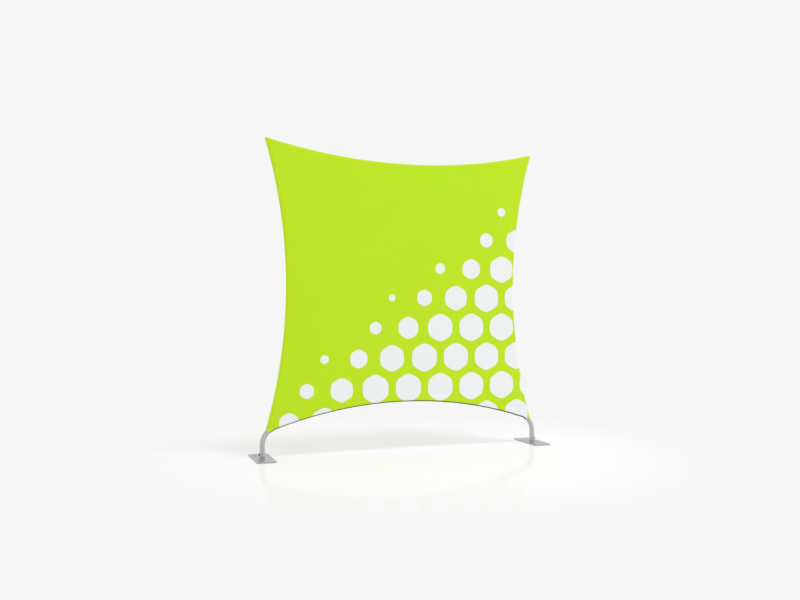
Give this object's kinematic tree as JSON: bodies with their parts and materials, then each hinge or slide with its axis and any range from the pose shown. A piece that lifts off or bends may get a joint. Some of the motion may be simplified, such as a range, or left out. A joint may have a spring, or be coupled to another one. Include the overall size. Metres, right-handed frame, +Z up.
{
  "type": "fabric display wall",
  "caption": "Free-standing display wall: a stretch-fabric cover zipped over a closed loop of curved tubes, standing on two bent legs with flat foot plates.",
  "frame": {"origin": "on the floor under the middle of the wall, midway between the feet", "axes": "+X along the wall to the viewer's right, +Y through the wall away from the viewer, +Z up"},
  "size_m": [2.314, 0.36, 2.2996],
  "materials": {
    "tube": "satin anodised",
    "sleeve": "plain drawn",
    "spring_steel": "bright",
    "bolt": "zinc plated",
    "plate": "powder coat, satin grey",
    "pad": "matt",
    "knob": "moulded, matt grey",
    "front_fabric": "printed stretch polyester knit",
    "back_fabric": "printed stretch polyester knit",
    "zip_tape": "woven tape with moulded teeth",
    "zip_metal": "dark nickel"
  },
  "bodies": {
    "frame": {"back_panel": "back_fabric", "back_zip_tape": "zip_tape", "bottom_left_tube": "tube", "bottom_middle_spigot": "sleeve", "bottom_right_tube": "tube", "front_panel": "front_fabric", "front_zip_tape": "zip_tape", "left_branch_spigot": "sleeve", "left_branch_tube": "tube", "left_elbow_side_spigot": "sleeve", "left_elbow_top_spigot": "sleeve", "left_leg": "tube", "left_leg_spigot": "sleeve", "left_lower_tube": "tube", "left_middle_spigot": "sleeve", "left_upper_tube": "tube", "left_zip_stop": "zip_metal", "right_branch_spigot": "sleeve", "right_branch_tube": "tube", "right_elbow_side_spigot": "sleeve", "right_elbow_top_spigot": "sleeve", "right_leg": "tube", "right_leg_spigot": "sleeve", "right_lower_tube": "tube", "right_middle_spigot": "sleeve", "right_upper_tube": "tube", "right_zip_stop": "zip_metal", "top_left_elbow": "tube", "top_left_tube": "tube", "top_middle_spigot": "sleeve", "top_right_elbow": "tube", "top_right_tube": "tube"},
    "bottom_middle_snap_button": {"bottom_middle_snap_button": "spring_steel"},
    "left_branch_snap_button": {"left_branch_snap_button": "spring_steel"},
    "left_elbow_side_snap_button": {"left_elbow_side_snap_button": "spring_steel"},
    "left_elbow_top_snap_button": {"left_elbow_top_snap_button": "spring_steel"},
    "left_leg_snap_button": {"left_leg_snap_button": "spring_steel"},
    "left_middle_snap_button": {"left_middle_snap_button": "spring_steel"},
    "right_branch_snap_button": {"right_branch_snap_button": "spring_steel"},
    "right_elbow_side_snap_button": {"right_elbow_side_snap_button": "spring_steel"},
    "right_elbow_top_snap_button": {"right_elbow_top_snap_button": "spring_steel"},
    "right_leg_snap_button": {"right_leg_snap_button": "spring_steel"},
    "right_middle_snap_button": {"right_middle_snap_button": "spring_steel"},
    "top_middle_snap_button": {"top_middle_snap_button": "spring_steel"},
    "right_foot": {"right_foot_plate": "plate", "right_foot_pad": "pad", "right_foot_post": "sleeve", "right_plate_bolt": "bolt"},
    "right_knob": {"right_clamp_knob": "knob"},
    "left_foot": {"left_foot_plate": "plate", "left_foot_pad": "pad", "left_foot_post": "sleeve", "left_plate_bolt": "bolt"},
    "left_knob": {"left_clamp_knob": "knob"},
    "zip_slider": {"zip_slider": "zip_metal"},
    "zip_pull": {"zip_pull": "zip_metal"}
  },
  "joints": [
    {"name": "bottom_middle_button_press", "type": "hinge", "parent": "frame", "child": "bottom_middle_snap_button", "pos_m": [-0.017, 0, 0.39969], "axis": [0, 1, 0], "range_deg": [0, 7.2], "stiffness_Nm_per_rad": 3},
    {"name": "left_branch_button_press", "type": "hinge", "parent": "frame", "child": "left_branch_snap_button", "pos_m": [-0.98304, 0, 0.37637], "axis": [0, -1, 0], "range_deg": [0, 7.2], "stiffness_Nm_per_rad": 3},
    {"name": "left_elbow_side_button_press", "type": "hinge", "parent": "frame", "child": "left_elbow_side_snap_button", "pos_m": [-1.01688, 0, 2.22081], "axis": [0, 1, 0], "range_deg": [0, 7.2], "stiffness_Nm_per_rad": 3},
    {"name": "left_elbow_top_button_press", "type": "hinge", "parent": "frame", "child": "left_elbow_top_snap_button", "pos_m": [-0.99264, 0, 2.24608], "axis": [0, -1, 0], "range_deg": [0, 7.2], "stiffness_Nm_per_rad": 3},
    {"name": "left_leg_button_press", "type": "hinge", "parent": "frame", "child": "left_leg_snap_button", "pos_m": [-0.94735, 0, 0.25443], "axis": [0, 1, 0], "range_deg": [0, 7.2], "stiffness_Nm_per_rad": 3},
    {"name": "left_middle_button_press", "type": "hinge", "parent": "frame", "child": "left_middle_snap_button", "pos_m": [-0.88326, 0, 1.2155], "axis": [0, -1, 0], "range_deg": [0, 7.2], "stiffness_Nm_per_rad": 3},
    {"name": "right_branch_button_press", "type": "hinge", "parent": "frame", "child": "right_branch_snap_button", "pos_m": [0.98304, 0, 0.37637], "axis": [0, 1, 0], "range_deg": [0, 7.2], "stiffness_Nm_per_rad": 3},
    {"name": "right_elbow_side_button_press", "type": "hinge", "parent": "frame", "child": "right_elbow_side_snap_button", "pos_m": [1.01688, 0, 2.22081], "axis": [0, -1, 0], "range_deg": [0, 7.2], "stiffness_Nm_per_rad": 3},
    {"name": "right_elbow_top_button_press", "type": "hinge", "parent": "frame", "child": "right_elbow_top_snap_button", "pos_m": [0.99264, 0, 2.24608], "axis": [0, 1, 0], "range_deg": [0, 7.2], "stiffness_Nm_per_rad": 3},
    {"name": "right_leg_button_press", "type": "hinge", "parent": "frame", "child": "right_leg_snap_button", "pos_m": [0.94735, 0, 0.25443], "axis": [0, -1, 0], "range_deg": [0, 7.2], "stiffness_Nm_per_rad": 3},
    {"name": "right_middle_button_press", "type": "hinge", "parent": "frame", "child": "right_middle_snap_button", "pos_m": [0.88326, 0, 1.2155], "axis": [0, 1, 0], "range_deg": [0, 7.2], "stiffness_Nm_per_rad": 3},
    {"name": "top_middle_button_press", "type": "hinge", "parent": "frame", "child": "top_middle_snap_button", "pos_m": [-0.017, 0, 2.13316], "axis": [0, -1, 0], "range_deg": [0, 7.2], "stiffness_Nm_per_rad": 3},
    {"name": "right_foot_swivel", "type": "hinge", "parent": "frame", "child": "right_foot", "pos_m": [1.087, 0, 0], "axis": [0, 0, 1], "range_deg": [-90, 90]},
    {"name": "right_knob_turn", "type": "hinge", "parent": "frame", "child": "right_knob", "pos_m": [1.1063, 0, 0.032], "axis": [1, 0, 0], "range_deg": [0, 720]},
    {"name": "left_foot_swivel", "type": "hinge", "parent": "frame", "child": "left_foot", "pos_m": [-1.087, 0, 0], "axis": [0, 0, 1], "range_deg": [-90, 90]},
    {"name": "left_knob_turn", "type": "hinge", "parent": "frame", "child": "left_knob", "pos_m": [-1.1063, 0, 0.032], "axis": [-1, 0, 0], "range_deg": [0, 720]},
    {"name": "zip_run", "type": "hinge", "parent": "frame", "child": "zip_slider", "pos_m": [0, 0, -2.76125], "axis": [0, -1, 0], "range_deg": [0, 35.25]},
    {"name": "zip_pull_swing", "type": "hinge", "parent": "zip_slider", "child": "zip_pull", "pos_m": [0.94717, -0.01516, 0.21974], "axis": [0.1864, -0.788, 0.5868], "range_deg": [0, 170]}
  ]
}
